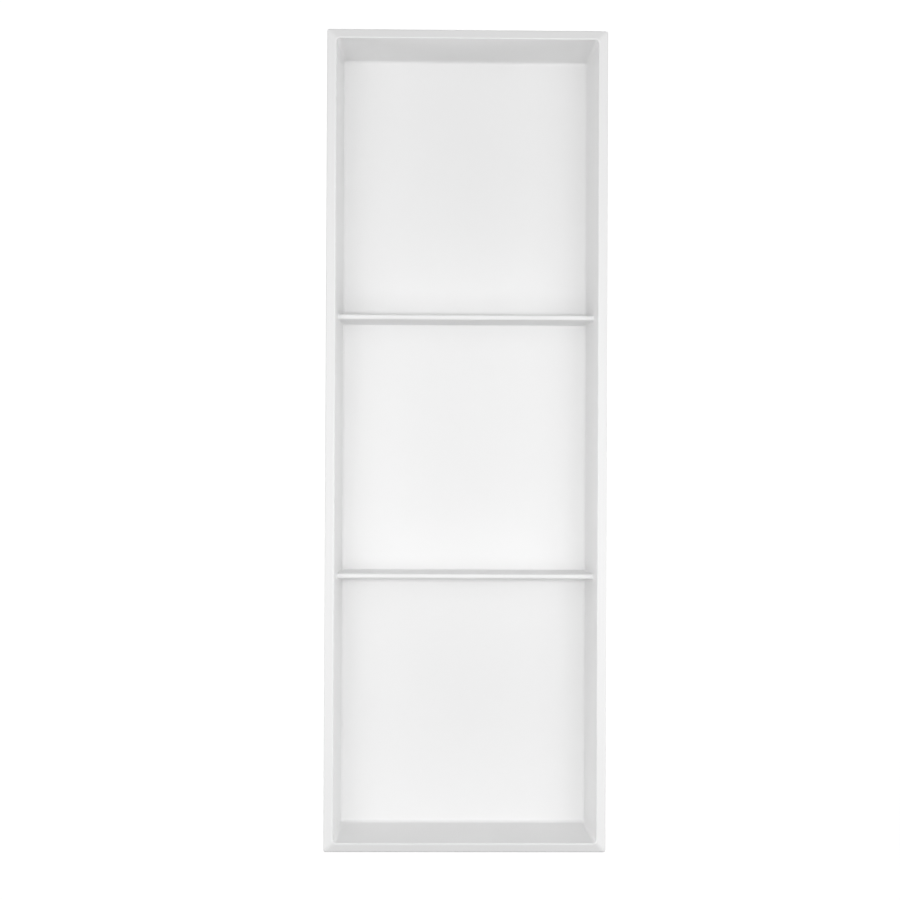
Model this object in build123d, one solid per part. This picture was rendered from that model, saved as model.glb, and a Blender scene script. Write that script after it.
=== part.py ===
from build123d import *

import os
from math import cos, radians, tan

# One-piece moulded shower niche insert: a slim front frame, a drafted box that sinks into the wall,
# and shelves moulded with it that part the box into bays.
# Millimetres. +Z is up, the niche opens towards -Y, and the wall's finished face is the plane y = 0.

# Front frame
frame_width = 313.0
frame_height = 914.0
frame_edge_thickness = 2.4  # how far the frame stands proud of the wall at its outer edge
frame_slope = 20.0  # degrees by which the frame's face rises from its outer edge to the opening
frame_edge_radius = 1.8  # round along the frame's outer edge
frame_corner_radius = 2.5  # round down each of the frame's four corners
mitre_radius = 8.0  # round along the ridge where two sides of the frame meet
rim_width = 10.6  # from the frame's outer edge to the opening
opening_edge_radius = 1.2  # round along the opening's front edge

# Box behind the frame
recess_depth = 97.0  # from the opening's front edge to the face of the back panel
wall_thickness = 3.4
wall_draft = 2.5  # degrees, so that the box leaves its mould and its floor drains forwards
recess_fillet = 4.0  # round where the walls meet each other and the back panel

# Shelves
bay_heights = (286.0, 285.0)  # at the back panel, from the lowest bay up; the top bay takes what is left
shelf_thickness = 5.6  # at the nose
shelf_setback = 32.0  # from the opening's front edge to the shelf's nose
shelf_slope = 0.5  # degrees, on the top and on the underside
shelf_nose_radius = 2.0
shelf_fillet = 1.5  # round where a shelf meets the walls and the back panel

pick_tolerance = 0.01  # how close an edge lies to the place that it is picked by

# Places along the depth
frame_rise = tan(radians(frame_slope))
front_y = -frame_edge_thickness - rim_width * frame_rise
crown_run = 2 * rim_width  # the frame's slope runs on past the opening, which is then cut through it
crown_y = -frame_edge_thickness - crown_run * frame_rise
panel_y = front_y + recess_depth
back_y = panel_y + wall_thickness
nose_y = front_y + shelf_setback

# Sizes that follow
draft_rise = tan(radians(wall_draft))
shelf_rise = tan(radians(shelf_slope))
# The frame's four slopes are made as one hipped block down to the wall's face, then cut to the frame's outline
hip_width = frame_width + 2 * frame_edge_thickness / frame_rise
hip_height = frame_height + 2 * frame_edge_thickness / frame_rise
opening_width = frame_width - 2 * rim_width
opening_height = frame_height - 2 * rim_width
mouth_flare = 2 * (front_y - crown_y) * draft_rise
wall_offset = wall_thickness / cos(radians(wall_draft)) + front_y * draft_rise
box_width = opening_width + 2 * wall_offset
box_height = opening_height + 2 * wall_offset
shelf_root = shelf_thickness + 2 * (panel_y - nose_y) * shelf_rise
panel_height = opening_height - 2 * recess_depth * draft_rise


def slab(width, height, start_y, end_y, draft=0.0):
    """A block centred across the niche, from start_y to end_y, which narrows on the way by the draft."""
    towards_wall = Plane(origin=(0, start_y, 0), x_dir=(1, 0, 0), z_dir=(0, 1, 0))
    return extrude(towards_wall * Rectangle(width, height), end_y - start_y, taper=draft)


def shelf_heights():
    """Where the middle of each shelf lies, from the lowest up."""
    heights = []
    bay_floor = -panel_height / 2
    for bay_height in bay_heights:
        heights.append(bay_floor + bay_height + shelf_root / 2)
        bay_floor += bay_height + shelf_root
    return heights


def make_frame():
    """The front frame, still without its opening: sloped all round, with a round outer edge and corners."""
    hip = slab(hip_width, hip_height, 0, crown_y, 90 - frame_slope)
    ridges = hip.edges().filter_by(Axis.X, reverse=True).filter_by(Axis.Z, reverse=True)
    hip = fillet(ridges, mitre_radius)
    towards_front = Plane(origin=(0, 0, 0), x_dir=(1, 0, 0), z_dir=(0, -1, 0))
    outline = towards_front * RectangleRounded(frame_width, frame_height, frame_corner_radius)
    frame = hip & extrude(outline, -crown_y)
    outer_edges = frame.edges().filter_by_position(
        Axis.Y, -frame_edge_thickness - frame_corner_radius * frame_rise, -frame_edge_thickness + pick_tolerance
    )
    return fillet(outer_edges, frame_edge_radius)


def make_box():
    """The outside of the box, with rounds that keep the wall even at the corners."""
    box = slab(box_width, box_height, 0, back_y, wall_draft)
    hidden_edges = box.edges().filter_by_position(Axis.Y, 0, back_y, inclusive=(False, True))
    return fillet(hidden_edges, recess_fillet + wall_thickness)


def make_shelf():
    """One shelf at the middle of the niche: a plate with a round nose, which thickens towards the back."""
    nose_half = shelf_thickness / 2
    back_half = nose_half + (back_y - nose_y) * shelf_rise
    outline = Polyline(
        (nose_y, -nose_half),
        (back_y, -back_half),
        (back_y, back_half),
        (nose_y, nose_half),
        close=True,
    )
    section = Plane.YZ * make_face(outline)
    section = fillet(section.vertices().group_by(Axis.Y)[0], shelf_nose_radius)
    return extrude(section, frame_width / 2, both=True)


def shelf_corners(recess):
    """The recess's edges where a shelf meets the walls and the back panel."""
    corners = []
    half_band = shelf_root / 2 + pick_tolerance
    for height in shelf_heights():
        band = recess.edges().filter_by_position(Axis.Z, height - half_band, height + half_band)
        along_panel = band.filter_by(Axis.X).filter_by_position(
            Axis.Y, panel_y - pick_tolerance, panel_y + pick_tolerance
        )
        corners += band.filter_by(Axis.X, reverse=True) + along_panel
    return corners


def make_recess():
    """The space inside the niche: the drafted recess less the shelves, round in every inside corner."""
    recess = slab(opening_width + mouth_flare, opening_height + mouth_flare, crown_y, panel_y, wall_draft)
    inside_edges = recess.edges().filter_by_position(Axis.Y, crown_y, panel_y, inclusive=(False, True))
    recess = fillet(inside_edges, recess_fillet)
    shelf = make_shelf()
    for height in shelf_heights():
        recess -= Pos(0, 0, height) * shelf
    return fillet(shelf_corners(recess), shelf_fillet)


def make_insert():
    """The whole insert as one solid."""
    insert = make_frame() + make_box() - make_recess()
    opening_edges = insert.edges().filter_by_position(Axis.Y, crown_y, front_y + pick_tolerance)
    return fillet(opening_edges, opening_edge_radius)


os.makedirs("parts", exist_ok=True)
niche_insert = make_insert()
niche_insert.label = "niche_insert"
export_step(niche_insert, "parts/niche_insert.step")
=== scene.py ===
import logging
import math
from dataclasses import dataclass, field
from enum import Enum
from typing import Any, Callable

import bpy
from mathutils import Matrix, Vector


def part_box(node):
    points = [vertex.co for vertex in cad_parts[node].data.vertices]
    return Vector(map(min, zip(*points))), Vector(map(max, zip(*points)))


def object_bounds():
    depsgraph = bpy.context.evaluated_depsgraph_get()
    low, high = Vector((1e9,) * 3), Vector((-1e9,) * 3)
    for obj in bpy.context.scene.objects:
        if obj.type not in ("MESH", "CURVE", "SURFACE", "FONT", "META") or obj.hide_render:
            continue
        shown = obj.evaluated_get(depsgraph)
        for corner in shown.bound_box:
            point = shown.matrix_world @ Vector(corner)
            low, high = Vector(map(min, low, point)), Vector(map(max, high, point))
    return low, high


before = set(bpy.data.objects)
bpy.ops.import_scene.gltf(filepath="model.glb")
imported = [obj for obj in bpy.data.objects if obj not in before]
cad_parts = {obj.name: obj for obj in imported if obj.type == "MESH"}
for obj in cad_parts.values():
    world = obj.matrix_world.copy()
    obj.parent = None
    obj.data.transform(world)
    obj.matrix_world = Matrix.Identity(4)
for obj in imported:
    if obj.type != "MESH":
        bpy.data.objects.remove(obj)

CAD_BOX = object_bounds()
INSERT_NODE = "niche_insert"

MM_PER_M = 1000.0
WHITE = (1.0, 1.0, 1.0, 1.0)
NOISE_SPAN = (0.3, 0.7)  # nearly all of a noise's values lie in here
DOWN_TO_LEVEL = 90.0  # degrees from a new camera's view straight down to a level one

log = logging.getLogger("shower_niche")


def deselect_all() -> None:
    """Leave edit mode if it is on, and clear the selection that loading the frame left behind."""
    if bpy.context.object is not None and bpy.context.object.mode != "OBJECT":
        bpy.ops.object.mode_set(mode="OBJECT")
    bpy.ops.object.select_all(action="DESELECT")


def select_edges(piece: bpy.types.Object, wanted: Callable[[Vector], bool]) -> None:
    """Select the edges of a mesh whose ends both lie where they should, and nothing else.

    Args:
        piece: The mesh object, in object mode.
        wanted: Tells whether an end's place is right.
    """
    mesh = piece.data
    for face in mesh.polygons:
        face.select = False
    for vertex in mesh.vertices:
        vertex.select = wanted(vertex.co)
    for edge in mesh.edges:
        edge.select = all(mesh.vertices[end].select for end in edge.vertices)


@dataclass(frozen=True)
class Speckle:
    """An even noise over a surface.

    Attributes:
        width_mm: The width of one speck.
        octaves: How many finer octaves it carries.
    """

    width_mm: float
    octaves: float


class NodeBench:
    """A tree of shader nodes that is wired up step by step.

    Attributes:
        tree: The nodes and their links.
    """

    def __init__(self, tree: bpy.types.NodeTree) -> None:
        """Start on the nodes of a material or a world."""
        self.tree = tree

    def add(self, kind: str, **settings: Any) -> bpy.types.Node:
        """Add a node.

        Args:
            kind: Blender's name for the node type.
            **settings: Properties of the node to set.

        Returns:
            The new node.
        """
        node = self.tree.nodes.new(kind)
        for key, value in settings.items():
            setattr(node, key, value)
        return node

    def feed(self, node: bpy.types.Node, socket: str | int, source: Any) -> None:
        """Link an output to an input, or set the input's own value.

        Args:
            node: The node that takes the value.
            socket: The input's name or number.
            source: An output socket, or a plain value.
        """
        if isinstance(source, bpy.types.NodeSocket):
            self.tree.links.new(source, node.inputs[socket])
        else:
            node.inputs[socket].default_value = source

    def combine(self, operation: str, *values: Any) -> bpy.types.NodeSocket:
        """Combine numbers.

        Args:
            operation: The Math node's operation.
            *values: Its inputs in order, sockets or plain numbers.

        Returns:
            The result's socket.
        """
        node = self.add("ShaderNodeMath", operation=operation)
        for index, value in enumerate(values):
            self.feed(node, index, value)
        return node.outputs["Value"]

    def stretch(
        self, value: bpy.types.NodeSocket, span: tuple[float, float], low: Any, high: Any
    ) -> bpy.types.NodeSocket:
        """Stretch a span of a number over another range, and hold it inside that range.

        Args:
            value: The number.
            span: The two ends of its span.
            low: What the span's low end becomes.
            high: What the span's high end becomes.

        Returns:
            The stretched number.
        """
        node = self.add("ShaderNodeMapRange")
        self.feed(node, "Value", value)
        self.feed(node, "From Min", span[0])
        self.feed(node, "From Max", span[1])
        self.feed(node, "To Min", low)
        self.feed(node, "To Max", high)
        return node.outputs["Result"]


class ShaderBench(NodeBench):
    """The nodes of a new material.

    Attributes:
        material: The material that the nodes belong to.
        surface: Its Principled shader.
    """

    def __init__(self, name: str) -> None:
        """Start a material with one Principled shader.

        Args:
            name: The material's name.
        """
        self.material = bpy.data.materials.new(name)
        self.material.use_nodes = True
        super().__init__(self.material.node_tree)
        self.surface = self.tree.nodes["Principled BSDF"]

    def place(self) -> bpy.types.NodeSocket:
        """Give each point's place on the piece, in metres."""
        return self.add("ShaderNodeTexCoord").outputs["Object"]

    def noise(self, speckle: Speckle) -> bpy.types.NodeSocket:
        """Add an even noise.

        Args:
            speckle: What the noise is like.

        Returns:
            The noise as a number about a half.
        """
        node = self.add("ShaderNodeTexNoise")
        self.feed(node, "Vector", self.place())
        self.feed(node, "Scale", MM_PER_M / speckle.width_mm)
        self.feed(node, "Detail", speckle.octaves)
        return node.outputs["Fac"]

    def bump(
        self, height: bpy.types.NodeSocket, height_mm: float, under: bpy.types.NodeSocket | None = None
    ) -> bpy.types.NodeSocket:
        """Give the surface a fine relief.

        Args:
            height: The relief, as a number at each point.
            height_mm: The height that the number one stands for.
            under: The relief that this one lies on, where there is one.

        Returns:
            The surface's direction with the relief on it.
        """
        node = self.add("ShaderNodeBump")
        self.feed(node, "Height", height)
        self.feed(node, "Distance", height_mm / MM_PER_M)
        if under is not None:
            self.feed(node, "Normal", under)
        return node.outputs["Normal"]


@dataclass(frozen=True)
class ShellSection:
    """The walls' middle surface, which parts the show side from the side towards the wall.

    Attributes:
        half_width: From the middle of the box to the middle of a side wall, at the wall's face.
        half_height: From the middle of the box to the middle of its floor or top, at the wall's face.
        depth: From the wall's face to the middle of the back panel.
        draft: Degrees by which the walls lean in.
        slack: How far in front of the wall's face a point still counts as on it.
    """

    half_width: float
    half_height: float
    depth: float
    draft: float
    slack: float = 0.0001

    def hidden(self, bench: ShaderBench) -> bpy.types.NodeSocket:
        """Tell the side towards the wall from the show side.

        Args:
            bench: The material to wire this into.

        Returns:
            One on the side towards the wall, and nought on the show side.
        """
        axes = bench.add("ShaderNodeSeparateXYZ")
        bench.feed(axes, 0, bench.place())
        lean = bench.combine("MULTIPLY", axes.outputs["Y"], math.tan(math.radians(self.draft)))
        beside = self._past(bench, axes.outputs["X"], lean, self.half_width)
        above = self._past(bench, axes.outputs["Z"], lean, self.half_height)
        behind = bench.combine("SUBTRACT", axes.outputs["Y"], self.depth)
        outside = bench.combine("MAXIMUM", bench.combine("MAXIMUM", beside, above), behind)
        past_wall_face = bench.combine("GREATER_THAN", axes.outputs["Y"], -self.slack)
        return bench.combine("MULTIPLY", bench.combine("GREATER_THAN", outside, 0.0), past_wall_face)

    @staticmethod
    def _past(
        bench: ShaderBench, across: bpy.types.NodeSocket, lean: bpy.types.NodeSocket, half: float
    ) -> bpy.types.NodeSocket:
        """Measure how far a point lies outside a pair of walls.

        Args:
            bench: The material to wire this into.
            across: The point's place across the pair.
            lean: How far the walls have leaned in at the point's depth.
            half: Half the way between the walls at the wall's face.

        Returns:
            The distance, less than nought inside the walls.
        """
        from_middle = bench.combine("ABSOLUTE", across)
        return bench.combine("SUBTRACT", bench.combine("ADD", from_middle, lean), half)


@dataclass(frozen=True)
class SatinShell:
    """Through-coloured white plastic with a satin show side and a duller side towards the wall.

    Attributes:
        colour: The plastic's colour.
        clouds: The faint clouds in its colour.
        cloud_depth: How much darker the clouds are on the show side.
        hidden_clouds: How many times that depth they have on the side towards the wall.
        gloss_range: Roughness at the shiniest and at the dullest spots of the show side.
        hidden_dulling: How much rougher the side towards the wall is.
        grain: The moulded grain.
        grain_height_mm: Height of the grain on the show side.
        hidden_grain: How many times higher the grain is on the side towards the wall.
        ripple: The slow ripple that a cooling wall keeps.
        ripple_height_mm: Height of the ripple.
        peel: The peel on the side towards the wall, which no polished mould has touched.
        peel_height_mm: Height of the peel.
    """

    colour: tuple[float, float, float] = (0.88, 0.88, 0.88)
    clouds: Speckle = Speckle(width_mm=160.0, octaves=3.0)
    cloud_depth: float = 0.012
    hidden_clouds: float = 4.0
    gloss_range: tuple[float, float] = (0.40, 0.50)
    hidden_dulling: float = 0.16
    grain: Speckle = Speckle(width_mm=1.1, octaves=2.0)
    grain_height_mm: float = 0.012
    hidden_grain: float = 3.0
    ripple: Speckle = Speckle(width_mm=70.0, octaves=1.0)
    ripple_height_mm: float = 0.03
    peel: Speckle = Speckle(width_mm=8.0, octaves=2.0)
    peel_height_mm: float = 0.08

    def make(self, section: ShellSection) -> bpy.types.Material:
        """Wire the finish up.

        Args:
            section: What parts the show side from the side towards the wall.

        Returns:
            The material.
        """
        bench = ShaderBench("satin_white_shell")
        hidden = section.hidden(bench)
        grain = bench.noise(self.grain)
        bench.feed(bench.surface, "Base Color", self._clouded(bench, hidden))
        gloss = bench.stretch(grain, NOISE_SPAN, *self.gloss_range)
        dulled = bench.combine("MULTIPLY_ADD", hidden, self.hidden_dulling, gloss)
        bench.feed(bench.surface, "Roughness", dulled)
        bench.feed(bench.surface, "Normal", self._relief(bench, hidden, grain))
        return bench.material

    def _clouded(self, bench: ShaderBench, hidden: bpy.types.NodeSocket) -> bpy.types.NodeSocket:
        """Cloud the plastic's colour.

        Args:
            bench: The material to wire this into.
            hidden: One on the side towards the wall, and nought on the show side.

        Returns:
            The clouded colour.
        """
        more_depth = self.cloud_depth * (self.hidden_clouds - 1.0)
        darkest = bench.combine("MULTIPLY_ADD", hidden, -more_depth, 1.0 - self.cloud_depth)
        shade = bench.stretch(bench.noise(self.clouds), NOISE_SPAN, darkest, 1.0)
        colour = bench.add("ShaderNodeVectorMath", operation="SCALE")
        bench.feed(colour, 0, self.colour)
        bench.feed(colour, "Scale", shade)
        return colour.outputs["Vector"]

    def _relief(
        self, bench: ShaderBench, hidden: bpy.types.NodeSocket, grain: bpy.types.NodeSocket
    ) -> bpy.types.NodeSocket:
        """Lay the peel over the ripple, and the grain over both.

        Args:
            bench: The material to wire this into.
            hidden: One on the side towards the wall, and nought on the show side.
            grain: The grain's noise.

        Returns:
            The surface's direction with all three on it.
        """
        rippled = bench.bump(bench.noise(self.ripple), self.ripple_height_mm)
        peel = bench.combine("MULTIPLY", bench.noise(self.peel), hidden)
        peeled = bench.bump(peel, self.peel_height_mm, under=rippled)
        coarser = bench.combine("MULTIPLY_ADD", hidden, self.hidden_grain - 1.0, 1.0)
        return bench.bump(bench.combine("MULTIPLY", grain, coarser), self.grain_height_mm, under=peeled)


@dataclass(frozen=True)
class SweepPaper:
    """White paper of a studio sweep, lit through from behind.

    Attributes:
        whiteness: The share of light that the paper throws back.
        roughness: How matt it is.
        glow: How bright the light through it is.
    """

    whiteness: float = 0.12
    roughness: float = 0.9
    glow: float = 0.98

    def make(self) -> bpy.types.Material:
        """Wire the paper up.

        Returns:
            The material.
        """
        bench = ShaderBench("sweep_paper")
        bench.feed(bench.surface, "Base Color", (self.whiteness, self.whiteness, self.whiteness, 1.0))
        bench.feed(bench.surface, "Roughness", self.roughness)
        bench.feed(bench.surface, "Specular IOR Level", 0.0)
        bench.feed(bench.surface, "Emission Color", WHITE)
        bench.feed(bench.surface, "Emission Strength", self.glow)
        bench.material.cycles.emission_sampling = "NONE"
        return bench.material


@dataclass
class NicheInsert:
    """The moulded insert, which comes whole from the frame.

    Attributes:
        rim_width: From the frame's outer edge to the opening.
        wall: Thickness of the walls.
        draft: Degrees by which the walls lean in.
        finish: The plastic that it is made of.
    """

    rim_width: float = 0.0106
    wall: float = 0.0034
    draft: float = 2.5
    finish: SatinShell = field(default_factory=SatinShell)

    def section(self) -> ShellSection:
        """Work out the walls' middle surface from the insert's box.

        Returns:
            The middle surface.
        """
        low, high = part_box(INSERT_NODE)
        half_wall = self.wall / 2.0
        lean_at_wall = -low[1] * math.tan(math.radians(self.draft))
        inset = self.rim_width + lean_at_wall - half_wall
        return ShellSection(
            half_width=high[0] - inset,
            half_height=high[2] - inset,
            depth=high[1] - half_wall,
            draft=self.draft,
        )

    def dress(self) -> bpy.types.Object:
        """Give the insert its finish.

        Returns:
            The insert.
        """
        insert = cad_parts[INSERT_NODE]
        material = self.finish.make(self.section())
        for slot in insert.material_slots:
            slot.material = material
        return insert


@dataclass
class StudioSweep:
    """The floor and the backdrop, one sheet that curves up on all four sides of the insert.

    It is seen, but throws no light or shadow on the insert, whose tones come from the lights alone.

    Attributes:
        width: Width of the sheet from side to side, and from front to back.
        height: How high it goes.
        drop: How far the floor lies below the insert, which hangs in a wall.
        turn_radius: Radius of the turn.
        turn_segments: Facets in the turn.
        paper: The sheet's finish.
    """

    width: float = 9.0
    height: float = 8.0
    drop: float = 0.75
    turn_radius: float = 0.8
    turn_segments: int = 24
    paper: SweepPaper = field(default_factory=SweepPaper)

    def build(self, foot_z: float) -> bpy.types.Object:
        """Model the sheet.

        Args:
            foot_z: Height of the insert's lower edge.

        Returns:
            The sheet.
        """
        deselect_all()
        bpy.ops.mesh.primitive_plane_add(size=self.width, location=(0.0, 0.0, foot_z - self.drop))
        sheet = bpy.context.object
        sheet.name = "studio_sweep"
        bpy.ops.object.transform_apply(location=True, rotation=True, scale=True)
        self._turn_up(sheet)
        bpy.ops.object.shade_smooth()
        sheet.data.materials.append(self.paper.make())
        sheet.visible_diffuse = False
        sheet.visible_glossy = False
        sheet.visible_shadow = False
        return sheet

    def _turn_up(self, sheet: bpy.types.Object) -> None:
        """Pull the sheet's edges up and round the turn.

        Args:
            sheet: The flat sheet.
        """
        half_way_up = sheet.data.vertices[0].co.z + self.height / 2.0
        select_edges(sheet, lambda at: True)
        bpy.ops.object.mode_set(mode="EDIT")
        bpy.ops.mesh.select_mode(type="EDGE")
        bpy.ops.mesh.extrude_edges_move(TRANSFORM_OT_translate={"value": (0.0, 0.0, self.height)})
        bpy.ops.object.mode_set(mode="OBJECT")
        select_edges(sheet, lambda at: at.z < half_way_up)
        bpy.ops.object.mode_set(mode="EDIT")
        bpy.ops.mesh.bevel(offset=self.turn_radius, segments=self.turn_segments, affect="EDGES")
        bpy.ops.mesh.select_all(action="SELECT")
        bpy.ops.mesh.normals_make_consistent(inside=True)
        bpy.ops.object.mode_set(mode="OBJECT")


class Role(Enum):
    """What a light does."""

    KEY = "key_strip"
    LOW = "low_strip"
    FRONT = "front_fill"
    FRONT_LEFT = "front_left_fill"
    FRONT_RIGHT = "front_right_fill"
    LEFT = "left_fill"
    RIGHT = "right_fill"
    BACK = "back_fill"


@dataclass(frozen=True)
class SoftBox:
    """A soft light that looks at the insert and that the camera doesn't see.

    Attributes:
        role: What the light does.
        place: Where it stands.
        size: Its width and height.
        power: Its power in watts.
    """

    role: Role
    place: tuple[float, float, float]
    size: tuple[float, float]
    power: float

    def build(self) -> bpy.types.Object:
        """Hang the light and aim it at the middle of the insert.

        Returns:
            The light.
        """
        data = bpy.data.lights.new(self.role.value, "AREA")
        data.shape = "RECTANGLE"
        data.size, data.size_y = self.size
        data.energy = self.power
        light = bpy.data.objects.new(self.role.value, data)
        light.location = self.place
        light.rotation_mode = "QUATERNION"
        light.rotation_quaternion = (-light.location).to_track_quat("-Z", "Y")
        light.visible_camera = False
        bpy.context.scene.collection.objects.link(light)
        return light


@dataclass
class Studio:
    """The light round the insert.

    Attributes:
        boxes: The soft boxes.
        sky: Brightness of the even light from straight above, which fades to none from straight below.
        horizon: Brightness that is added at eye level and fades away upwards and downwards.
    """

    boxes: tuple[SoftBox, ...] = (
        SoftBox(Role.KEY, place=(0.0, -1.5, -0.015), size=(1.35, 0.15), power=8.07),
        SoftBox(Role.LOW, place=(0.0, -1.1, -0.3), size=(1.0, 0.2), power=0.92),
        SoftBox(Role.FRONT, place=(0.0, -3.0, -0.03), size=(3.6, 0.35), power=6.7),
        SoftBox(Role.FRONT_LEFT, place=(-1.6, -2.8, 0.2), size=(1.0, 1.6), power=5.34),
        SoftBox(Role.FRONT_RIGHT, place=(1.6, -2.8, 0.2), size=(1.0, 1.6), power=6.52),
        SoftBox(Role.LEFT, place=(-1.2, -0.25, -0.28), size=(0.4, 0.3), power=2.54),
        SoftBox(Role.RIGHT, place=(1.2, -0.25, -0.28), size=(0.4, 0.3), power=3.22),
        SoftBox(Role.BACK, place=(0.0, 2.3, 1.6), size=(1.8, 1.8), power=36.0),
    )
    sky: float = 0.284
    horizon: float = 0.415

    def build(self) -> list[bpy.types.Object]:
        """Set the even light and hang the soft boxes.

        Returns:
            The lights.
        """
        scene = bpy.context.scene
        scene.world = self._even_light()
        scene.view_settings.view_transform = "Standard"
        return [box.build() for box in self.boxes]

    def _even_light(self) -> bpy.types.World:
        """Make the light from all round, which changes from below to above only.

        Returns:
            The world that holds it.
        """
        world = bpy.data.worlds.new("studio")
        world.use_nodes = True
        bench = NodeBench(world.node_tree)
        axes = bench.add("ShaderNodeSeparateXYZ")
        bench.feed(axes, 0, bench.add("ShaderNodeTexCoord").outputs["Generated"])
        height = axes.outputs["Z"]
        from_above = bench.stretch(height, (-1.0, 1.0), 0.0, self.sky)
        fade = bench.combine("SUBTRACT", 1.0, bench.combine("MULTIPLY", height, height))
        band = bench.combine("MULTIPLY", fade, fade)
        background = world.node_tree.nodes["Background"]
        bench.feed(background, "Color", WHITE)
        bench.feed(background, "Strength", bench.combine("MULTIPLY_ADD", band, self.horizon, from_above))
        return world


@dataclass(frozen=True)
class PhotoCamera:
    """The camera, where the photograph was taken from.

    Attributes:
        place: Where it stands.
        yaw: Degrees that it looks to the right of straight ahead.
        pitch: Degrees that it looks up.
        roll: Degrees that it leans to the left.
        lens_mm: Focal length.
        sensor_mm: Width of the sensor.
    """

    place: tuple[float, float, float] = (-0.0532, -2.0017, -0.0292)
    yaw: float = 1.008
    pitch: float = 0.523
    roll: float = 0.248
    lens_mm: float = 72.0
    sensor_mm: float = 36.0

    def build(self) -> bpy.types.Object:
        """Set the camera up as the scene's own.

        Returns:
            The camera.
        """
        data = bpy.data.cameras.new("photo_camera")
        data.sensor_width = self.sensor_mm
        data.lens = self.lens_mm
        camera = bpy.data.objects.new("photo_camera", data)
        turn = Matrix.Rotation(math.radians(-self.yaw), 4, "Z")
        tilt = Matrix.Rotation(math.radians(DOWN_TO_LEVEL + self.pitch), 4, "X")
        lean = Matrix.Rotation(math.radians(self.roll), 4, "Z")
        camera.matrix_world = Matrix.Translation(self.place) @ turn @ tilt @ lean
        bpy.context.scene.collection.objects.link(camera)
        bpy.context.scene.camera = camera
        return camera


def main() -> None:
    """Dress the insert, and set up the sweep, the light and the camera."""
    logging.basicConfig(level=logging.INFO, format="%(name)s: %(message)s")
    insert = NicheInsert().dress()
    log.info("dressed %s", insert.name)
    sweep = StudioSweep().build(foot_z=CAD_BOX[0].z)
    log.info("laid %s", sweep.name)
    for light in Studio().build():
        log.info("hung %s", light.name)
    log.info("placed %s", PhotoCamera().build().name)


if __name__ == "__main__":
    main()
